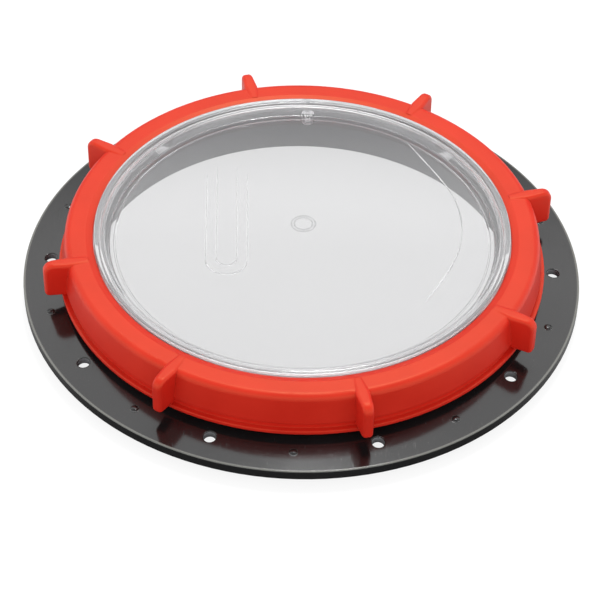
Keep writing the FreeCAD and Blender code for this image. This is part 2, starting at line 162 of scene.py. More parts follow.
def new_material(name: str) -> tuple[bpy.types.Material, Tree]:
    """Makes an empty node material.

    Args:
        name: the material's name.

    Returns:
        The material and its node tree.
    """
    material = bpy.data.materials.new(name)
    material.use_nodes = True
    material.node_tree.nodes.clear()
    return material, material.node_tree


def dress(obj: bpy.types.Object, material: bpy.types.Material) -> None:
    """Gives an object one material in place of those it has."""
    obj.data.materials.clear()
    obj.data.materials.append(material)


@dataclass(frozen=True)
class OrangePeel:
    """The faint ripple and grain that a polished mould leaves on a glossy part."""

    ripple_mm: float = 9.0
    ripple_height_mm: float = 0.010
    grain_mm: float = 0.9
    grain_height_mm: float = 0.0025

    def normal(self, tree: Tree, place: Socket, bevel_mm: float) -> Socket:
        """Adds the ripple and grain as bump over slightly rounded edges.

        Args:
            tree: the material's node tree.
            place: object coordinates in metres.
            bevel_mm: radius that every sharp edge is softened to.

        Returns:
            The normal socket.
        """
        soft = add(tree, "Bevel", {"samples": 4, "Radius": bevel_mm * MM})
        ripple = add(tree, "TexNoise", {"Scale": 1 / (self.ripple_mm * MM), "Detail": 1.0}, {"Vector": place})
        grain = add(tree, "TexNoise", {"Scale": 1 / (self.grain_mm * MM), "Detail": 2.0}, {"Vector": place})
        low = add(tree, "Bump", {"Strength": 1.0, "Distance": self.ripple_height_mm * MM},
                  {"Height": ripple.outputs["Fac"], "Normal": soft.outputs["Normal"]})
        high = add(tree, "Bump", {"Strength": 1.0, "Distance": self.grain_height_mm * MM},
                   {"Height": grain.outputs["Fac"], "Normal": low.outputs["Normal"]})
        return high.outputs["Normal"]


@dataclass(frozen=True)
class GlossyDarkAbs:
    """Near-black ABS, moulded in a polished mould; its bore and hole walls are matt and painted a paler grey
    as painted light from the floor.
    """

    # to the eye: a black mirror that shows the edge of the sky, under rubs, dust and a painted highlight on
    # its upper edges and rim, and a paler grey without gloss down the bore and the hole walls, which is
    # painted light from the floor
    name: str = "moulded_abs_dark_grey"
    base: str = "#131314"
    wear_and_sheen: str = "#1D1D1E"
    cloud_mm: float = 38.0
    cloud_span: Span = (0.35, 0.75)
    roughness: float = 0.12
    ior: float = 1.54
    bevel_mm: float = 0.8
    ripple_height_mm: float = 0.006
    # hairline rubs: width, turn in radians, stretch along their length, and how dull they are
    rub_mm: float = 0.5
    rub_turn: float = 0.6
    rub_stretch: float = 0.04
    rub_span: Span = (0.62, 0.8)
    rub_dulling: float = 0.16
    # specks of dust: spacing, edge as a share of the spacing, share of places left bare, and cover
    dust: str = "#77736F"
    dust_mm: float = 1.1
    dust_edge: Span = (0.10, 0.06)
    dust_chance: Span = (0.60, 0.70)
    dust_cover: float = 0.6
    # bore and hole walls, painted a paler grey as painted light from the floor: where they are, and the most
    # that a wall leans
    bore: str = "#7C7C7F"
    bore_radius_mm: float = 124.0
    bore_roughness: float = 0.55
    hole_circle_mm: float = 145.0
    hole_reach_mm: float = 5.0
    wall_lean: float = 0.3
    # painted highlight on the upper edges and the rim, a painted reflection of the bright sky: how far the
    # softened normal has turned, how far it looks up, and the rim
    edge_highlight: str = "#70716C"
    edge_span: Span = (0.98, 0.80)
    upper_span: Span = (0.35, 0.7)
    rim_span_mm: Span = (158.5, 159.2)

    def dusty(self, tree: Tree, place: Socket) -> Socket:
        """Colours the skin: a clouded near-black under sparse specks of settled dust.

        Args:
            tree: the material's node tree.
            place: object coordinates in metres.

        Returns:
            The colour socket.
        """
        cloud = add(tree, "TexNoise", {"Scale": 1 / (self.cloud_mm * MM), "Detail": 3.0}, {"Vector": place})
        tone = add(tree, "ValToRGB", {}, {"Fac": cloud.outputs["Fac"]},
                   zip(self.cloud_span, (linear(self.base), linear(self.wear_and_sheen))))
        specks = add(tree, "TexVoronoi", {"Scale": 1 / (self.dust_mm * MM)}, {"Vector": place})
        speck = add(tree, "MapRange", {"From Min": self.dust_edge[0], "From Max": self.dust_edge[1]},
                    {"Value": specks.outputs["Distance"]})
        draw = add(tree, "SeparateColor", {}, {0: specks.outputs["Color"]})
        chance = add(tree, "MapRange", {"From Min": self.dust_chance[0], "From Max": self.dust_chance[1]},
                     {"Value": draw.outputs[0]})
        settled = add(tree, "Math", {"operation": "MULTIPLY"},
                      {0: speck.outputs["Result"], 1: chance.outputs["Result"]})
        faint = add(tree, "Math", {"operation": "MULTIPLY", 1: self.dust_cover}, {0: settled.outputs[0]})
        colour = add(tree, "Mix", {"data_type": "RGBA", COLOUR_B: linear(self.dust)},
                     {FACTOR: faint.outputs[0], COLOUR_A: tone.outputs["Color"]})
        return colour.outputs[MIXED]

    def rubbed(self, tree: Tree, place: Socket) -> Socket:
        """Dulls the gloss along long, fine rubs from handling.

        Args:
            tree: the material's node tree.
            place: object coordinates in metres.

        Returns:
            The roughness socket.
        """
        along = add(tree, "Mapping", {"Rotation": (0.0, 0.0, self.rub_turn),
                                      "Scale": (1.0, self.rub_stretch, 1.0)}, {"Vector": place})
        rubs = add(tree, "TexNoise", {"Scale": 1 / (self.rub_mm * MM), "Detail": 1.0},
                   {"Vector": along.outputs[0]})
        dullest = self.roughness + self.rub_dulling
        dulled = add(tree, "MapRange", {"From Min": self.rub_span[0], "From Max": self.rub_span[1],
                                        "To Min": self.roughness, "To Max": dullest},
                     {"Value": rubs.outputs["Fac"]})
        return dulled.outputs["Result"]

    def inner(self, tree: Tree, radius: Socket, facing: Socket) -> Socket:
        """Finds the bore and the walls of the screw holes, which are painted a paler grey as painted light.

        Args:
            tree: the material's node tree.
            radius: distance from the hatch axis in metres.
            facing: the surface's normal.

        Returns:
            A mask socket, 1 inside.
        """
        bore = add(tree, "Math", {"operation": "LESS_THAN", 1: self.bore_radius_mm * MM}, {0: radius})
        upward = add(tree, "SeparateXYZ", {}, {0: facing}).outputs["Z"]
        band = add(tree, "Math", {"operation": "COMPARE", 1: self.hole_circle_mm * MM,
                                  2: self.hole_reach_mm * MM}, {0: radius})
        wall = add(tree, "Math", {"operation": "COMPARE", 1: 0.0, 2: self.wall_lean}, {0: upward})
        hole = add(tree, "Math", {"operation": "MULTIPLY"}, {0: band.outputs[0], 1: wall.outputs[0]})
        inside = add(tree, "Math", {"operation": "MAXIMUM"}, {0: bore.outputs[0], 1: hole.outputs[0]})
        return inside.outputs[0]

    def highlighted_edges(self, tree: Tree, radius: Socket, facing: Socket) -> Socket:
        """Finds the upper edges and the rim, which get a pale line as a painted highlight.

        Args:
            tree: the material's node tree.
            radius: distance from the hatch axis in metres.
            facing: the surface's normal.

        Returns:
            A mask socket, 1 on the painted highlight.
        """
        soft = add(tree, "Bevel", {"samples": 4, "Radius": self.bevel_mm * MM})
        same = add(tree, "VectorMath", {"operation": "DOT_PRODUCT"}, {0: soft.outputs[0], 1: facing})
        edge = add(tree, "MapRange", {"From Min": self.edge_span[0], "From Max": self.edge_span[1]},
                   {"Value": same.outputs["Value"]})
        tilt = add(tree, "SeparateXYZ", {}, {0: soft.outputs[0]})
        upper = add(tree, "MapRange", {"From Min": self.upper_span[0], "From Max": self.upper_span[1]},
                    {"Value": tilt.outputs["Z"]})
        rim = add(tree, "MapRange", {"From Min": self.rim_span_mm[0] * MM,
                                     "From Max": self.rim_span_mm[1] * MM}, {"Value": radius})
        wear_and_sheen = add(tree, "Math", {"operation": "MAXIMUM"}, {0: edge.outputs[0], 1: rim.outputs[0]})
        pale = add(tree, "Math", {"operation": "MULTIPLY"}, {0: wear_and_sheen.outputs[0], 1: upper.outputs[0]})
        return pale.outputs[0]

    def build(self) -> bpy.types.Material:
        """Builds the material.

        Returns:
            The finished material.
        """
        material, tree = new_material(self.name)
        place = add(tree, "TexCoord").outputs["Object"]
        level = add(tree, "VectorMath", {"operation": "MULTIPLY", 1: (1.0, 1.0, 0.0)}, {0: place})
        radius = add(tree, "VectorMath", {"operation": "LENGTH"}, {0: level.outputs[0]}).outputs["Value"]
        facing = add(tree, "NewGeometry").outputs["Normal"]
        inner = self.inner(tree, radius, facing)
        # painted highlight: a pale grey along the upper edges and the rim
        edged = add(tree, "Mix", {"data_type": "RGBA", COLOUR_B: linear(self.edge_highlight)},
                    {FACTOR: self.highlighted_edges(tree, radius, facing), COLOUR_A: self.dusty(tree, place)})
        # painted light: the bore and hole walls take a paler grey, a painted reflection of the floor
        colour = add(tree, "Mix", {"data_type": "RGBA", COLOUR_B: linear(self.bore)},
                     {FACTOR: inner, COLOUR_A: edged.outputs[MIXED]})
        matt = add(tree, "MapRange", {"To Max": self.bore_roughness},
                   {"Value": inner, "To Min": self.rubbed(tree, place)})
        peel = OrangePeel(ripple_height_mm=self.ripple_height_mm)
        skin = add(tree, "BsdfPrincipled", {"IOR": self.ior},
                   {"Base Color": colour.outputs[MIXED], "Roughness": matt.outputs["Result"],
                    "Normal": peel.normal(tree, place, self.bevel_mm)})
        add(tree, "OutputMaterial", {}, {"Surface": skin.outputs["BSDF"]})
        return material


@dataclass(frozen=True)
class SatinRedAbs:
    """Red ABS, moulded, with a satin skin."""

    # to the eye: a saturated body colour under a broad, warm gloss without sharp reflections
    name: str = "moulded_abs_red"
    base: str = "#D3251A"
    deep: str = "#CB1F15"
    gloss_tint: str = "#FFF4B4"
    cloud_mm: float = 25.0
    cloud_span: Span = (0.3, 0.7)
    roughness: float = 0.38
    haze: float = 0.08
    ior: float = 1.46
    bevel_mm: float = 0.9
    grain_height_mm: float = 0.012

    def build(self) -> bpy.types.Material:
        """Builds the material.

        Returns:
            The finished material.
        """
        material, tree = new_material(self.name)
        place = add(tree, "TexCoord").outputs["Object"]
        cloud = add(tree, "TexNoise", {"Scale": 1 / (self.cloud_mm * MM), "Detail": 4.0}, {"Vector": place})
        tone = add(tree, "ValToRGB", {}, {"Fac": cloud.outputs["Fac"]},
                   zip(self.cloud_span, (linear(self.deep), linear(self.base))))
        satin = add(tree, "MapRange", {"To Min": self.roughness, "To Max": self.roughness + self.haze},
                    {"Value": cloud.outputs["Fac"]})
        peel = OrangePeel(grain_height_mm=self.grain_height_mm)
        skin = add(tree, "BsdfPrincipled", {"IOR": self.ior, "Specular Tint": linear(self.gloss_tint)},
                   {"Base Color": tone.outputs["Color"], "Roughness": satin.outputs["Result"],
                    "Normal": peel.normal(tree, place, self.bevel_mm)})
        add(tree, "OutputMaterial", {}, {"Surface": skin.outputs["BSDF"]})
        return material


@dataclass(frozen=True)
class ClearStyrene:
    """Clear styrene copolymer, moulded in a polished mould."""

    # to the eye: water-clear with bright edges, and a slight ripple where the melt flowed
    name: str = "clear_styrene_polished"
    tint: str = "#F6F6F7"
    shadow_tint: str = "#EFEFF0"
    ior: float = 1.57
    roughness: float = 0.01
    clearness: float = 0.96
    ripple_mm: float = 14.0
    ripple_height_mm: float = 0.004

    def build(self) -> bpy.types.Material:
        """Builds the material.

        Returns:
            The finished material.
        """
        material, tree = new_material(self.name)
        place = add(tree, "TexCoord").outputs["Object"]
        ripple = add(tree, "TexNoise", {"Scale": 1 / (self.ripple_mm * MM), "Detail": 1.0}, {"Vector": place})
        normal = add(tree, "Bump", {"Strength": 1.0, "Distance": self.ripple_height_mm * MM},
                     {"Height": ripple.outputs["Fac"]})
        glass = add(tree, "BsdfPrincipled",
                    {"Base Color": linear(self.tint), "IOR": self.ior, "Roughness": self.roughness,
                     "Transmission Weight": self.clearness}, {"Normal": normal.outputs["Normal"]})
        # light goes straight through to what lies under the lid, as it does through a thin sheet
        clear = add(tree, "BsdfTransparent", {"Color": linear(self.shadow_tint)})
        path = add(tree, "LightPath")
        mixed = add(tree, "MixShader", {}, {0: path.outputs["Is Shadow Ray"],
                                            1: glass.outputs["BSDF"], 2: clear.outputs["BSDF"]})
        add(tree, "OutputMaterial", {}, {"Surface": mixed.outputs["Shader"]})
        return material


@dataclass(frozen=True)
class LitRimStyrene(ClearStyrene):
    """The same plastic on the lid's bead and flange, made milkier: painted light that makes the rim read
    lighter.
    """

    # to the eye: slightly milky beside the panel
    name: str = "clear_styrene_rim"
    clearness: float = 0.86


@dataclass(frozen=True)
class BlackSealRubber:
    """Black rubber, moulded."""

    # to the eye: black without gloss, with a fine grain and a grey bloom
    name: str = "seal_rubber_black"
    base: str = "#1E1E1F"
    bloom: str = "#2A2A2B"
    bloom_mm: float = 6.0
    roughness: float = 0.7
    ior: float = 1.5
    grain_mm: float = 0.5
    grain_height_mm: float = 0.01

    def build(self) -> bpy.types.Material:
        """Builds the material.

        Returns:
            The finished material.
        """
        material, tree = new_material(self.name)
        place = add(tree, "TexCoord").outputs["Object"]
        cloud = add(tree, "TexNoise", {"Scale": 1 / (self.bloom_mm * MM), "Detail": 5.0}, {"Vector": place})
        tone = add(tree, "ValToRGB", {}, {"Fac": cloud.outputs["Fac"]},
                   ((0.0, linear(self.base)), (1.0, linear(self.bloom))))
        grain = add(tree, "TexNoise", {"Scale": 1 / (self.grain_mm * MM), "Detail": 2.0}, {"Vector": place})
        normal = add(tree, "Bump", {"Strength": 1.0, "Distance": self.grain_height_mm * MM},
                     {"Height": grain.outputs["Fac"]})
        skin = add(tree, "BsdfPrincipled", {"Roughness": self.roughness, "IOR": self.ior},
                   {"Base Color": tone.outputs["Color"], "Normal": normal.outputs["Normal"]})
        add(tree, "OutputMaterial", {}, {"Surface": skin.outputs["BSDF"]})
        return material


def rounded(points: Sequence[Spot], steps: int = 6) -> list[Point]:
    """Rounds the corners of an outline.

    Args:
        points: radius, height and corner radius of each corner, in order.
        steps: straight steps in each rounded corner.

    Returns:
        The outline's points, with each rounded corner as an arc.
    """
    made: list[Point] = []
    count = len(points)
    for index, (across, up, corner) in enumerate(points):
        if corner <= 0:
            made.append((across, up))
            continue
        here = Vector((across, up))
        before = (Vector(points[index - 1][:2]) - here).normalized()
        after = (Vector(points[(index + 1) % count][:2]) - here).normalized()
        half = before.angle(after) / 2
        reach = corner / math.tan(half)
        centre = here + (before + after).normalized() * (corner / math.sin(half))
        start = here + before * reach - centre
        end = here + after * reach - centre
        for step in range(steps + 1):
            swung = start.slerp(end, step / steps, start)
            spot = centre + swung.normalized() * corner
            made.append((spot.x, spot.y))
    return made


def placed(name: str, verts: Sequence[Any], faces: Sequence[tuple[int, ...]]) -> bpy.types.Object:
    """Makes an object from its points and faces.

    Args:
        name: the new object's name.
        verts: points in metres.
        faces: the points of each face by number.

    Returns:
        The new object, linked to the scene.
    """
    mesh = bpy.data.meshes.new(name)
    mesh.from_pydata(verts, [], faces)
    mesh.validate()
    obj = bpy.data.objects.new(name, mesh)
    bpy.context.scene.collection.objects.link(obj)
    return obj


def turned(name: str, outline: Sequence[Point], around: int = AROUND) -> bpy.types.Object:
    """Turns a closed outline about the hatch axis into a smooth closed mesh.

    Args:
        name: the new object's name.
        outline: radius and height in mm, counter-clockwise with the axis on the left.
        around: steps in a full turn.

    Returns:
        The new object, linked to the scene.
    """
    verts: list[Spot] = []
    columns: list[list[int]] = []
    for across, up in outline:
        if across < ON_AXIS:
            columns.append([len(verts)] * around)
            verts.append((0.0, 0.0, up * MM))
            continue
        first = len(verts)
        for step in range(around):
            angle = math.tau * step / around
            verts.append((across * MM * math.cos(angle), across * MM * math.sin(angle), up * MM))
        columns.append(list(range(first, first + around)))
    faces: list[tuple[int, ...]] = []
    for index, low in enumerate(columns):
        high = columns[(index + 1) % len(columns)]
        if low[0] == low[1] and high[0] == high[1]:
            continue
        for step in range(around):
            after = (step + 1) % around
            ring = (low[step], low[after], high[after], high[step])
            faces.append(tuple(dict.fromkeys(ring)))
    obj = placed(name, verts, faces)
    obj.data.shade_smooth()
    obj.data.set_sharp_from_angle(angle=SHARP)
    return obj


def swept(name: str, path: Sequence[Spot], closed: bool, half: float, sides: int = 8) -> bpy.types.Object:
    """Sweeps a small round section along a path.

    Args:
        name: the new object's name.
        path: points in mm.
        closed: True where the last point joins the first, else both ends taper off.
        half: half the width of the section in mm.
        sides: flat sides of the section.

    Returns:
        The new object, linked to the scene.
    """
    count = len(path)
    spots = [Vector(spot) for spot in path]
    verts: list[Vector] = []
    for index, spot in enumerate(spots):
        after = spots[(index + 1) % count] if closed else spots[min(index + 1, count - 1)]
        before = spots[index - 1] if closed or index else spots[0]
        across = (after - before).normalized().cross(Vector((0.0, 0.0, 1.0))).normalized()
        share = END_SHARE + END_GROWTH * min(index, count - 1 - index)
        reach = half if closed else half * min(1.0, share)
        for side in range(sides):
            angle = math.tau * side / sides
            rise = Vector((0.0, 0.0, math.sin(angle) * reach))
            verts.append((spot + across * math.cos(angle) * reach + rise) * MM)
    faces: list[tuple[int, ...]] = []
    for index in range(count if closed else count - 1):
        here, there = index * sides, (index + 1) % count * sides
        for side in range(sides):
            turn = (side + 1) % sides
            faces.append((here + side, there + side, there + turn, here + turn))
    if not closed:
        faces += [tuple(range(sides)), tuple(range((count - 1) * sides, count * sides))[::-1]]
    return placed(name, verts, faces)


@dataclass(frozen=True)
class MouldMarks:
    """Fine raised lines that the mould leaves on the panel's underside. Sizes in mm."""

    line: float = 0.42
    # the tongues' middle line: its x, the y that this x holds at, and its lean
    plate_axis: Spot = (-43.5, 8.0, -0.049)
    # each tongue's half width, and the y of its foot and its head
    plates: tuple[Spot, ...] = ((11.85, -25.2, 50.0), (5.75, -24.1, 56.0))
    side_steps: int = 40
    bend_steps: int = 24
    gate: Point = (0.4, 6.2)
    gate_radii: tuple[float, float] = (6.85, 5.2)
    gate_steps: int = 48
    flow: tuple[Point, ...] = (
        (58.2, 91.7), (64.9, 79.9), (77.6, 57.6), (85.0, 43.2), (88.5, 32.6), (90.8, 19.3),
        (91.1, 7.0), (89.0, -8.7), (84.7, -21.7), (80.6, -31.9), (73.2, -45.4), (69.2, -52.8))
    flow_steps: int = 6

    def plate(self, half: float, foot: float, head: float) -> list[Point]:
        """Draws the outline of a tongue, round at its foot and open at its head.

        Args:
            half: half its width.
            foot: where its round foot starts.
            head: where its sides end.

        Returns:
            Points in the plane of the panel.
        """
        sides = [(-half, head + (foot - head) * step / self.side_steps) for step in range(self.side_steps)]
        turns = [math.pi * step / self.bend_steps for step in range(self.bend_steps + 1)]
        bend = [(-half * math.cos(turn), foot - half * math.sin(turn)) for turn in turns]
        flat = sides + bend + [(-across, up) for across, up in reversed(sides)]
        start, level, lean = self.plate_axis
        return [(start + lean * (up - level) + across, up) for across, up in flat]

    def ring(self, radius: float) -> list[Point]:
        """Draws one ring of the gate mark.

        Args:
            radius: the ring's radius.

        Returns:
            Points in the plane of the panel.
        """
        turns = [math.tau * step / self.gate_steps for step in range(self.gate_steps)]
        return [(self.gate[0] + radius * math.cos(turn), self.gate[1] + radius * math.sin(turn))
                for turn in turns]

    def curve(self) -> list[Point]:
        """Draws the flow line as a smooth curve through its points.

        Returns:
            Points in the plane of the panel.
        """
        ends = [Vector(spot) for spot in (self.flow[0],) + self.flow + (self.flow[-1],)]
        made: list[Point] = []
        for one, two, three, four in zip(ends, ends[1:], ends[2:], ends[3:]):
            for step in range(self.flow_steps):
                t = step / self.flow_steps
                spot = 0.5 * (2 * two + (three - one) * t + (2 * one - 5 * two + 4 * three - four) * t ** 2
                              + (3 * two - one - 3 * three + four) * t ** 3)
                made.append((spot.x, spot.y))
        return made + [self.flow[-1]]

    def paths(self) -> list[tuple[list[Point], bool]]:
        """Lists every line.

        Returns:
            Each line's points, and whether it is closed.
        """
        made = [(self.plate(*sizes), False) for sizes in self.plates]
        made += [(self.ring(radius), True) for radius in self.gate_radii]
        return made + [(self.curve(), False)]


@dataclass
class ClearLid:
    """The lid: domed panel, raised bead, clamping flange and a boss. Sizes in mm."""

    panel_radius: float = 110.0
    panel_edge: float = 30.0
    dome_rise: float = 5.0
    dome_steps: int = 24
    wall: float = 3.0
    step_radius: float = 112.1
    step_top: float = 35.3
    land_inner: float = 114.7
    bead_radius: float = 118.5
    bead_top: float = 36.7
    flange_radius: float = 128.0
    flange_top: float = 31.1
    flange_bottom: float = 28.1
    # the seal's recess and the core's groove: inner radius, outer radius and top
    recess: Spot = (121.5, 127.0, 28.6)
    groove: Spot = (113.4, 115.6, 33.4)
    # a raised line near the panel's edge: inner radius, outer radius and height, and its flanks' run
    rim_line: Spot = (106.2, 107.4, 0.3)
    rim_flank: float = 0.2
    # radii of the corners
    groove_lip: float = 0.25
    fine_corner: float = 0.3
    groove_mouth: float = 0.4
    bead_foot: float = 0.5
    bead_corner: float = 0.8
    # the boss: distance from the axis, lower end and root; radius at its end and at its straight root
    boss: Spot = (112.0, 22.0, 28.8)
    boss_radii: tuple[float, float] = (3.4, 4.2)
    boss_straight: float = 1.8
    boss_around: int = 64
    # its blind hole: radius and top, and how far below the boss the drill starts
    hole: tuple[float, float] = (1.8, 28.0)
    drill_run: float = 1.0
    hole_around: int = 48
    marks: MouldMarks = MouldMarks()
    # radius from which the plastic is milkier, as painted light on the rim
    lit_rim_radius: float = 110.5

    def height(self, edge: float, across: float) -> float:
        """Gives the dome's height at a radius, from its height at the panel's edge."""
        radius = (self.panel_radius ** 2 + self.dome_rise ** 2) / (2 * self.dome_rise)
        return edge + self.dome_rise - radius + math.sqrt(radius ** 2 - across ** 2)

    def dome(self, edge: float, inward: bool) -> list[Spot]:
        """Samples a dome between the panel's edge and the axis.

        Args:
            edge: the dome's height at the panel's edge.
            inward: True from the edge to the axis, False the other way.

        Returns:
            Outline points, none of them rounded.
        """
        steps = range(1, self.dome_steps) if inward else range(self.dome_steps - 1, 0, -1)
        spots = [self.panel_radius * (1 - step / self.dome_steps) for step in steps]
        return [(across, self.height(edge, across), 0.0) for across in spots]

    def outline(self) -> list[Point]:
        """Draws the lid's section.

        Returns:
            The closed section, from the axis outwards along the underside and back over the top.
        """
        under = self.panel_edge - self.wall
        groove_in, groove_out, groove_top = self.groove
        seal_in, seal_out, seal_top = self.recess
        line_in, line_out, line_down = self.rim_line
        corners = [(0.0, under + self.dome_rise, 0.0)]
        corners += self.dome(under, inward=False)
        corners += [
            (line_in, self.height(under, line_in), 0.0),
            (line_in + self.rim_flank, self.height(under, line_in) - line_down, 0.0),
            (line_out - self.rim_flank, self.height(under, line_out) - line_down, 0.0),
            (line_out, self.height(under, line_out), 0.0),
            (self.panel_radius, under, 0.0),
            (groove_in, under, self.groove_lip),
            (groove_in, groove_top, self.fine_corner),
            (groove_out, groove_top, self.fine_corner),
            (groove_out, self.flange_bottom, self.groove_mouth),
            (seal_in, self.flange_bottom, 0.0),
            (seal_in, seal_top, 0.0),
            (seal_out, seal_top, 0.0),
            (seal_out, self.flange_bottom, 0.0),
            (self.flange_radius, self.flange_bottom, self.fine_corner),
            (self.flange_radius, self.flange_top, self.fine_corner),
            (self.bead_radius, self.flange_top, self.bead_foot),
            (self.bead_radius, self.bead_top, self.bead_corner),
            (self.land_inner, self.bead_top, self.bead_corner),
            (self.step_radius, self.step_top, self.bead_corner),
            (self.panel_radius, self.panel_edge, self.bead_corner),
        ]
        corners += self.dome(self.panel_edge, inward=True)
        corners.append((0.0, self.panel_edge + self.dome_rise, 0.0))
        return rounded(corners)

    def boss_and_drill(self) -> tuple[bpy.types.Object, bpy.types.Object]:
        """Makes the boss, and the drill that cuts its blind hole.

        Returns:
            The two solids, in place.
        """
        across, low, root = self.boss
        end_radius, root_radius = self.boss_radii
        hole_radius, hole_top = self.hole
        start = low - self.drill_run
        boss = turned("boss", [(0.0, low), (end_radius, low), (root_radius, root - self.boss_straight),
                               (root_radius, root), (0.0, root)], self.boss_around)
        drill = turned("drill", [(0.0, start), (hole_radius, start), (hole_radius, hole_top),
                                 (0.0, hole_top)], self.hole_around)
        for solid in (boss, drill):
            solid.data.transform(Matrix.Translation((0.0, across * MM, 0.0)))
        return boss, drill

    def joined(self, obj: bpy.types.Object, other: bpy.types.Object, how: Joining) -> None:
        """Joins or cuts with another solid and deletes that solid.

        Args:
            obj: the solid that is changed.
            other: the solid that is added or taken away.
            how: whether it is added or cut.
        """
        modifier = obj.modifiers.new(how.name, "BOOLEAN")
        modifier.operation = how.value
        modifier.object = other
        modifier.solver = "EXACT"
        graph = bpy.context.evaluated_depsgraph_get()
        mesh = bpy.data.meshes.new_from_object(obj.evaluated_get(graph))
        obj.modifiers.clear()
        obj.data = mesh
        bpy.data.objects.remove(other)

    def build(self, finish: ClearStyrene, rim_finish: ClearStyrene) -> bpy.types.Object:
        """Builds the lid in place of its CAD node.

        Args:
            finish: the clear plastic of the polished panel.
            rim_finish: the same plastic made milkier on the rim, as painted light.

        Returns:
            The lid's object.
        """
        lid = turned("lid_clear", self.outline())
        boss, drill = self.boss_and_drill()
        self.joined(lid, boss, Joining.ADD)
        under = self.panel_edge - self.wall
        for path, closed in self.marks.paths():
            lifted = [(x, y, self.height(under, math.hypot(x, y))) for x, y in path]
            self.joined(lid, swept("line", lifted, closed, self.marks.line), Joining.ADD)
        self.joined(lid, drill, Joining.CUT)
        lid.data.shade_smooth()
        lid.data.set_sharp_from_angle(angle=SHARP)
        dress(lid, finish.build())
        lid.data.materials.append(rim_finish.build())
        # painted light: faces beyond the panel take the milkier plastic, so the rim reads lighter
        for face in lid.data.polygons:
            face.material_index = int(face.center.xy.length > self.lit_rim_radius * MM)
        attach(lid, Body.COVER.value)
        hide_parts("lid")
        return lid


@dataclass
class RubberSeal:
    """The lid's seal, a flat rubber ring. Sizes in mm."""

    inner: float = 121.5
    outer: float = 127.0
    bottom: float = 26.2
    top: float = 28.6
    corner: float = 0.5
    # clearance under the recess
    clearance: float = 0.02

    def build(self, finish: BlackSealRubber) -> bpy.types.Object:
        """Builds the seal in place of its CAD node.

        Args:
            finish: the rubber.

        Returns:
            The seal's object.
        """
        top = self.top - self.clearance
        section = rounded([(self.inner, self.bottom, self.corner), (self.outer, self.bottom, self.corner),
                           (self.outer, top, 0.0), (self.inner, top, 0.0)])
        seal = turned("seal_ring", section)
        dress(seal, finish.build())
        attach(seal, Body.COVER.value)
        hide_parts("lid_seal")
        return seal


@dataclass
class MouldedShells:
    """The two moulded pieces whose CAD shapes stay: the frame and the clamp ring."""

    frame_node: str = "mounting_frame"
    ring_node: str = "clamp_ring"

    def build(self, nodes: dict[str, bpy.types.Object], dark: GlossyDarkAbs,
              red: SatinRedAbs) -> list[bpy.types.Object]:
        """Dresses the CAD nodes.

        Args:
            nodes: the CAD objects by node name.
            dark: the frame's finish.
            red: the ring's finish.

        Returns:
            The dressed objects.
        """
        dress(nodes[self.frame_node], dark.build())
        dress(nodes[self.ring_node], red.build())
        return [nodes[self.frame_node], nodes[self.ring_node]]


@dataclass(frozen=True)
class Rise:
    """A soft rise of the sky's light, between two values of a unit direction's component."""

    way: Way
    start: float
    stop: float


@dataclass(frozen=True)
class Glow:
    """A bright patch of the sky: the strength it has where all its rises are full."""

    strength: float
    rises: tuple[Rise, ...]


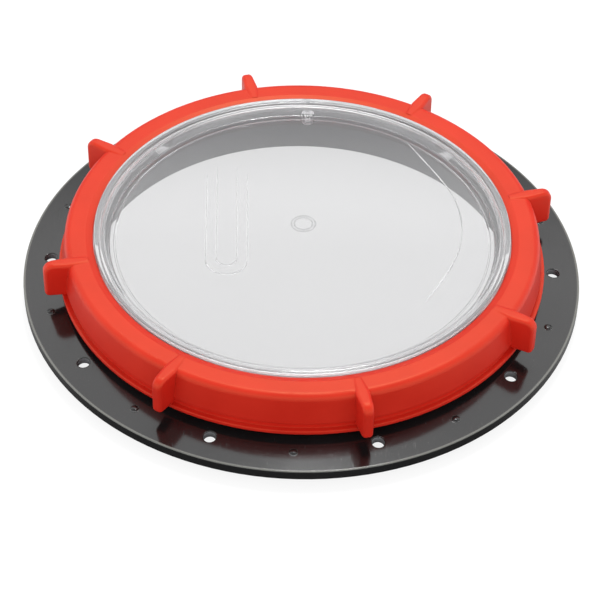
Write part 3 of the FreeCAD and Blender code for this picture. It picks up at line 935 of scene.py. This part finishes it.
@dataclass
class Studio:
    """Pale floor, soft lights and the camera, in metres."""

    floor_half: float = 6.0
    # the floor to the eye: its own light and the grey that takes the shadow
    floor_seen: float = 0.85
    floor_shade: float = 0.2
    # the floor through the lid, a set glow as painted light in place of its own light and shade, from the
    # front to the back of the hatch
    floor_through_glow: Span = (0.60, 0.67)
    through_depth: Span = (0.03, 0.13)
    # the floor in the gloss: painted shade, dark in front of the hatch, and pale behind and beside it
    floor_front: float = 0.12
    floor_back: float = 0.85
    pale_depth: Span = (-0.05, 0.3)
    pale_aside: Span = (0.10, 0.25)
    # the sky: its strength low down and overhead, and the bright patches behind, in front and beside
    sky_low: float = 0.25
    sky_high: float = 0.45
    sky_climb: Span = (0.05, 0.75)
    glows: tuple[Glow, ...] = (
        Glow(1.45, (Rise(Way.BACK, 0.05, 0.5), Rise(Way.SIDE, 0.85, 0.4), Rise(Way.UP, 0.44, 0.64))),
        Glow(1.0, (Rise(Way.BACK, -0.35, -0.85),)),
        Glow(1.0, (Rise(Way.SIDE, 0.45, 0.9),)),
    )
    lamp_place: Spot = (0.1, 0.45, 1.5)
    lamp_side: float = 0.35
    lamp_watts: float = 8.0
    # fitted to the flange, the ring and the lugs; turn in degrees, lens and sensor in mm
    camera_place: Spot = (0.01450, -0.92312, 0.84324)
    camera_turn: Spot = (46.8977, -0.8615, 1.7406)
    camera_reach: Span = (0.05, 50.0)
    lens: float = 129.37
    sensor: float = 36.0

    def floor(self, height: float) -> None:
        """Lays the floor: white to the eye with a faint shadow, grey in front to the gloss as painted shade,
        and a set glow through the lid as painted light.

        Args:
            height: the floor's level in metres.
        """
        half = self.floor_half
        floor = placed("floor", [(-half, -half, height), (half, -half, height), (half, half, height),
                                 (-half, half, height)], [(0, 1, 2, 3)])
        material, tree = new_material("studio_floor")
        place = add(tree, "SeparateXYZ", {}, {0: add(tree, "TexCoord").outputs["Object"]})
        # painted shade: to the gloss the floor is dark in front of the hatch and pale behind and beside it
        aside = add(tree, "Math", {"operation": "ABSOLUTE"}, {0: place.outputs["X"]})
        spans = ((place.outputs["Y"], self.pale_depth), (aside.outputs[0], self.pale_aside))
        pales = [add(tree, "MapRange", {"From Min": span[0], "From Max": span[1], "To Min": self.floor_front,
                                        "To Max": self.floor_back, "interpolation_type": "SMOOTHSTEP"},
                     {"Value": value}).outputs["Result"] for value, span in spans]
        grey = add(tree, "Math", {"operation": "MAXIMUM"}, dict(enumerate(pales)))
        floor_gloss_shade = add(tree, "BsdfDiffuse", {}, {"Color": grey.outputs[0]})
        shade = add(tree, "BsdfDiffuse", {"Color": (self.floor_shade,) * 3 + (1.0,)})
        light = add(tree, "Emission", {"Strength": self.floor_seen})
        seen = add(tree, "AddShader", {}, {0: shade.outputs["BSDF"], 1: light.outputs["Emission"]})
        # painted light: through the lid the floor glows at a set level, a little darker towards the front
        level = add(tree, "MapRange", {"From Min": self.through_depth[0], "From Max": self.through_depth[1],
                                       "To Min": self.floor_through_glow[0], "To Max": self.floor_through_glow[1]},
                    {"Value": place.outputs["Y"]})
        through = add(tree, "Emission", {}, {"Strength": level.outputs["Result"]})
        path = add(tree, "LightPath")
        first = add(tree, "MixShader", {}, {0: path.outputs["Is Camera Ray"],
                                            1: floor_gloss_shade.outputs["BSDF"], 2: seen.outputs["Shader"]})
        mixed = add(tree, "MixShader", {}, {0: path.outputs["Is Transmission Ray"],
                                            1: first.outputs["Shader"], 2: through.outputs["Emission"]})
        add(tree, "OutputMaterial", {}, {"Surface": mixed.outputs["Shader"]})
        dress(floor, material)
        floor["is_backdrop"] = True

    def world(self) -> None:
        """Lights the scene from a soft dome, brightest behind, and white where the camera sees it."""
        world = bpy.data.worlds.new("studio")
        bpy.context.scene.world = world
        world.use_nodes = True
        tree = world.node_tree
        tree.nodes.clear()
        place = add(tree, "TexCoord").outputs["Generated"]
        way = add(tree, "VectorMath", {"operation": "NORMALIZE"}, {0: place})
        axes = add(tree, "SeparateXYZ", {}, {0: way.outputs[0]}).outputs
        aside = add(tree, "Math", {"operation": "ABSOLUTE"}, {0: axes[Way.SIDE.value]})
        values = {Way.BACK: axes[Way.BACK.value], Way.UP: axes[Way.UP.value], Way.SIDE: aside.outputs[0]}
        level = add(tree, "MapRange", {"From Min": self.sky_climb[0], "From Max": self.sky_climb[1],
                                       "To Min": self.sky_low, "To Max": self.sky_high,
                                       "interpolation_type": "SMOOTHSTEP"}, {"Value": values[Way.UP]})
        for glow in self.glows:
            # each rise lifts to the height of the one before it, so that they multiply
            top: dict[str, Socket] = {}
            for rise in glow.rises:
                patch = add(tree, "MapRange", {"From Min": rise.start, "From Max": rise.stop,
                                               "To Max": glow.strength, "interpolation_type": "SMOOTHSTEP"},
                            {"Value": values[rise.way], **top})
                top = {"To Max": patch.outputs["Result"]}
            level = add(tree, "Math", {"operation": "ADD"}, {0: level.outputs[0], 1: top["To Max"]})
        path = add(tree, "LightPath")
        dome = add(tree, "Background", {"Color": (1.0, 1.0, 1.0, 1.0)}, {"Strength": level.outputs[0]})
        white = add(tree, "Background", {"Color": (1.0, 1.0, 1.0, 1.0), "Strength": 1.0})
        mixed = add(tree, "MixShader", {}, {0: path.outputs["Is Camera Ray"],
                                            1: dome.outputs["Background"], 2: white.outputs["Background"]})
        add(tree, "OutputWorld", {}, {"Surface": mixed.outputs["Shader"]})

    def softbox(self) -> None:
        """Hangs a square softbox overhead that faces the hatch."""
        lamp = bpy.data.lights.new("overhead", "AREA")
        lamp.shape = "SQUARE"
        lamp.size = self.lamp_side
        lamp.energy = self.lamp_watts
        holder = bpy.data.objects.new("overhead", lamp)
        holder.location = self.lamp_place
        holder.rotation_euler = (-Vector(self.lamp_place)).to_track_quat("-Z", "Y").to_euler()
        bpy.context.scene.collection.objects.link(holder)

    def camera(self) -> None:
        """Places the camera."""
        data = bpy.data.cameras.new("photo_camera")
        data.lens = self.lens
        data.sensor_width = self.sensor
        data.clip_start, data.clip_end = self.camera_reach
        camera = bpy.data.objects.new("photo_camera", data)
        camera.location = self.camera_place
        camera.rotation_euler = [math.radians(turn) for turn in self.camera_turn]
        bpy.context.scene.collection.objects.link(camera)
        bpy.context.scene.camera = camera

    def build(self, floor_level: float) -> None:
        """Sets up the whole studio.

        Args:
            floor_level: height of the object's lowest point in metres.
        """
        self.floor(floor_level)
        self.world()
        self.softbox()
        self.camera()
        bpy.context.scene.view_settings.view_transform = "Standard"


def corners(box: tuple[Vector, Vector]) -> list[list[float]]:
    """Turns a box to plain lists of numbers."""
    return [list(map(float, box[0])), list(map(float, box[1]))]


def main() -> None:
    """Builds every piece in order and reports each one."""
    logging.basicConfig(level=logging.INFO, format="%(name)s: %(message)s")
    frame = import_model()
    cad_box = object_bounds()
    made = [ClearLid().build(ClearStyrene(), LitRimStyrene()), RubberSeal().build(BlackSealRubber())]
    made += MouldedShells().build(frame["nodes"], GlossyDarkAbs(), SatinRedAbs())
    for piece in made:
        LOG.info("%s: %d faces", piece.name, len(piece.data.polygons))
    Studio().build(cad_box[0].z)


if __name__ == "__main__":
    main()
